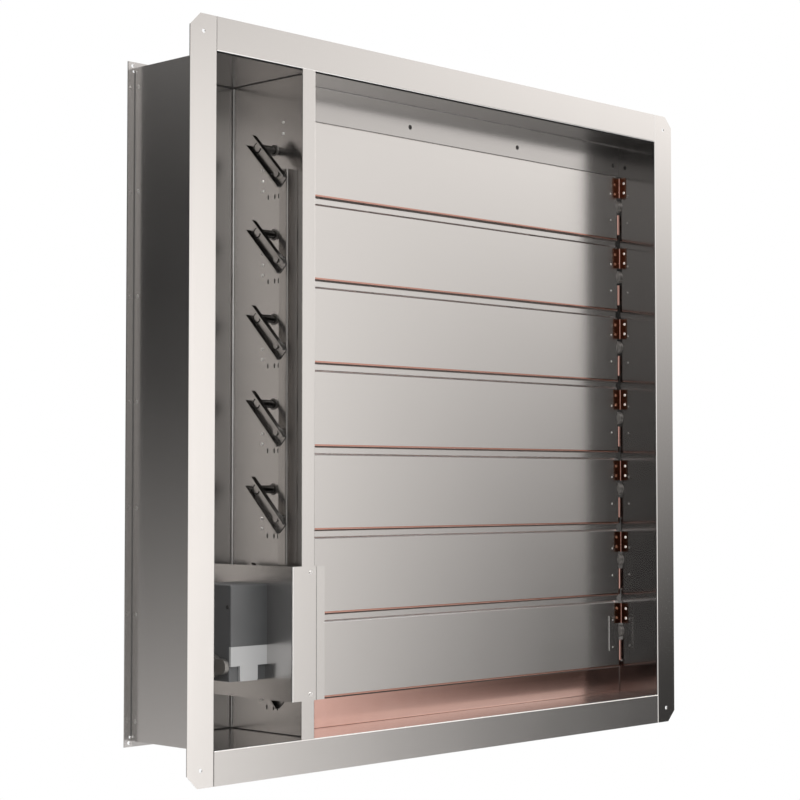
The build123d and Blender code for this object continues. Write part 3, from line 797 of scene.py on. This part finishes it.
# Cards that the sheet mirrors, unseen by the camera. A tall card at the front right fades from
# bright to shade, a wide one stands behind the camera, and a darker one stands to the left.
CARD_LIGHT = (1.0, 0.965, 0.935, 1.0)
FRONT_CARD_TURN = math.radians(-43.9)
FRONT_CARD_FAR = 3.0
FRONT_CARD_LIFT = 0.40
FRONT_CARD_SIZE = (5.6, 4.6)
FRONT_LEVEL = 0.715
FRONT_RISE = 0.33
FRONT_SHADE = 1.06
FRONT_RETURN = 0.40
FRONT_RANGE = (0.05, 1.5)
SHADE_START = 0.719
SHADE_RISE = 0.563
SHADE_BEND = 0.411
CAMERA_CARD_TURN = math.radians(-140)
CAMERA_CARD_FAR = 8.0
CAMERA_CARD_LIFT = 0.6
CAMERA_CARD_SIZE = (12.0, 9.0)
SIDE_GLOW = 0.39
HAZE = (0.03, 0.045, 0.25)
OTHER_SIDE_FROM = 0.5
OTHER_SIDE_GLOW = (0.12, 0.13, 0.45)
LEFT_CARD_TURN = math.radians(128.5)
LEFT_CARD_FAR = 3.0
LEFT_CARD_SHIFT = (-0.25, 0, 0.3)
LEFT_CARD_SIZE = (3.0, 2.8)
LEFT_DARKEST = 0.45
LEFT_LEVEL = 0.032
LEFT_BEND = 0.29
LEFT_RANGE = (0.02, 0.7)


def card(name, turn, far, shift, size, glow):
    """An upright card at a turn and a distance, with a glow that follows its own coordinates."""
    way = Vector((math.cos(turn), math.sin(turn), 0))
    half_w, half_h = size[0] / 2, size[1] / 2
    corners = [(x * half_w, 0, z * half_h) for x, z in ((-1, -1), (1, -1), (1, 1), (-1, 1))]
    mesh = bpy.data.meshes.new(name)
    mesh.from_pydata(corners, [], [(0, 1, 2, 3)])
    made = bpy.data.objects.new(name, mesh)
    bpy.context.collection.objects.link(made)
    made.location = way * far + Vector(shift)
    made.rotation_euler = (0, 0, math.atan2(-way[0], way[1]))
    material = bpy.data.materials.new(name)
    material.use_nodes = True
    material.node_tree.nodes.clear()
    wire = Wire(material.node_tree)
    place = wire.place()
    strength = glow(place.along("X"), place.along("Z"))
    light = wire.node("ShaderNodeEmission", {}, {"Color": CARD_LIGHT, "Strength": strength})
    wire.node("ShaderNodeOutputMaterial", {}, {"Surface": light})
    mesh.materials.append(material)
    made.visible_camera = False
    made.visible_shadow = False
    return made


def front_glow(across, up):
    height = up + FRONT_CARD_LIFT
    right = -1.0 * across
    shade = right * (SHADE_RISE * height + SHADE_BEND * height * height - SHADE_START)
    glow = FRONT_LEVEL + FRONT_RISE * height + FRONT_SHADE * shade
    return limits(glow + FRONT_RETURN * right * right, *FRONT_RANGE)


def rising(up, level, rise, most):
    """A glow that grows with height, up to its most."""
    return limits(level + rise * up, 0.0, most)


def camera_glow(across, up):
    side = limits(-1.0 * across)
    other_side = limits(across + OTHER_SIDE_FROM)
    haze = rising(up, *HAZE)
    return SIDE_GLOW * side * side + haze + other_side * rising(up, *OTHER_SIDE_GLOW)


def left_glow(across, up):
    off_middle = up + LEFT_CARD_SHIFT[2] - LEFT_DARKEST
    return limits(LEFT_LEVEL + LEFT_BEND * off_middle * off_middle, *LEFT_RANGE)


front_shift = (0, 0, FRONT_CARD_LIFT)
card("front_card", FRONT_CARD_TURN, FRONT_CARD_FAR, front_shift, FRONT_CARD_SIZE, front_glow)
camera_shift = (0, 0, CAMERA_CARD_LIFT)
for dark_card in (
    card(
        "camera_card",
        CAMERA_CARD_TURN,
        CAMERA_CARD_FAR,
        camera_shift,
        CAMERA_CARD_SIZE,
        camera_glow,
    ),
    card("left_card", LEFT_CARD_TURN, LEFT_CARD_FAR, LEFT_CARD_SHIFT, LEFT_CARD_SIZE, left_glow),
):
    dark_card.visible_diffuse = False

# Studio floor and surroundings: a disc of pale paper well below the part, and an even white world.
# The world is fully white where it is seen or mirrored, and dimmer as a light.
FLOOR_Z = -0.95
FLOOR_RADIUS = 2.4
FLOOR_SIDES = 96
FLOOR_PAPER = (0.86, 0.86, 0.86, 1.0)
FLOOR_GRAIN = 3.0
WHITE = (1, 1, 1, 1)
AMBIENT = 0.75


def floor_sockets(wire):
    return {"Base Color": FLOOR_PAPER, "Roughness": 0.7 + 0.1 * wire.noise(FLOOR_GRAIN)}


rim = []
for step in range(FLOOR_SIDES):
    angle = 2 * math.pi * step / FLOOR_SIDES
    rim.append((FLOOR_RADIUS * math.cos(angle), FLOOR_RADIUS * math.sin(angle), FLOOR_Z))
floor_mesh = bpy.data.meshes.new("studio_floor")
floor_mesh.from_pydata(rim, [], [tuple(range(FLOOR_SIDES))])
floor_mesh.materials.append(surface("floor_paper", floor_sockets))
floor = bpy.data.objects.new("studio_floor", floor_mesh)
bpy.context.collection.objects.link(floor)
world = bpy.data.worlds.new("studio_world")
bpy.context.scene.world = world
world.use_nodes = True
world.node_tree.nodes.clear()
sky = Wire(world.node_tree)
seen, mirrored, through = [
    sky.node("ShaderNodeLightPath", output=f"Is {ray} Ray")
    for ray in ("Camera", "Glossy", "Transmission")
]
strength = AMBIENT + (1.0 - AMBIENT) * limits(seen + mirrored + through)
backdrop = sky.node("ShaderNodeBackground", {}, {"Color": WHITE, "Strength": strength})
sky.node("ShaderNodeOutputWorld", {}, {"Surface": backdrop})

# Lamps: two soft round lamps, the key at the front left and a weaker one above.
# Both look at the middle of the part.
LAMP_SIZE = 1.4
LAMPS = {"key_lamp": ((-1.2, -2.6, 2.2), 60.0), "top_lamp": ((0.6, -0.6, 2.6), 40.0)}
for name, (spot, power) in LAMPS.items():
    lamp = bpy.data.lights.new(name, "AREA")
    lamp.shape = "DISK"
    lamp.size = LAMP_SIZE
    lamp.energy = power
    stand = bpy.data.objects.new(name, lamp)
    bpy.context.collection.objects.link(stand)
    stand.location = spot
    stand.rotation_euler = (-Vector(spot)).to_track_quat("-Z", "Y").to_euler()

# Camera: the photo's own viewpoint, fitted to the corners of the flange and the blades.
PHOTO_LENS = 88.82
PHOTO_SENSOR = 36.0
PHOTO_SPOT = (-1.8945, -1.7112, -0.0995)
PHOTO_WAY = (0.7200, 0.6926, 0.0433)
camera_data = bpy.data.cameras.new("photo_camera")
camera_data.lens = PHOTO_LENS
camera_data.sensor_width = PHOTO_SENSOR
camera = bpy.data.objects.new("photo_camera", camera_data)
bpy.context.collection.objects.link(camera)
camera.location = PHOTO_SPOT
camera.rotation_euler = Vector(PHOTO_WAY).to_track_quat("-Z", "Y").to_euler()
bpy.context.scene.camera = camera
bpy.context.scene.view_settings.view_transform = "Standard"
